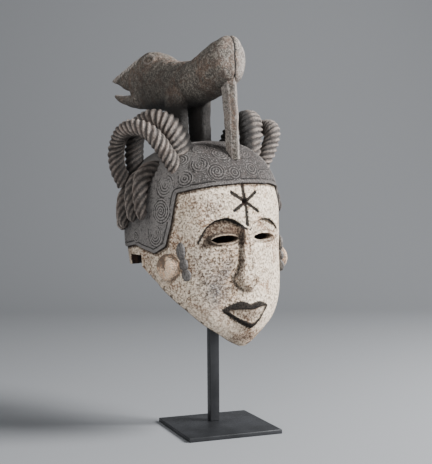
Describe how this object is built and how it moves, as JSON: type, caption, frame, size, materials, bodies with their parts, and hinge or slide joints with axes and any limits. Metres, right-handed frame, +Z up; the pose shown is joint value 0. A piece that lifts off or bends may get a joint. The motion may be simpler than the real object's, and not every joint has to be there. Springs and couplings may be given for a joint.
{
  "type": "helmet mask",
  "caption": "Carved helmet mask with a pale long face, rope-like hair arches, hanging locks and a beast on its crest, on a square post and plate.",
  "frame": {"origin": "centre of the underside of the stand's plate", "axes": "+Z up; the face looks along -Y; +X is towards the mask's left side"},
  "size_m": [0.262, 0.3599, 0.5635],
  "materials": {
    "carved_wood": "matt dark stained wood, the face in worn chalky white",
    "black_steel": "satin black"
  },
  "bodies": {
    "root": {"mask": "carved_wood", "stand_post": "black_steel", "stand_base": "black_steel"}
  },
  "joints": []
}
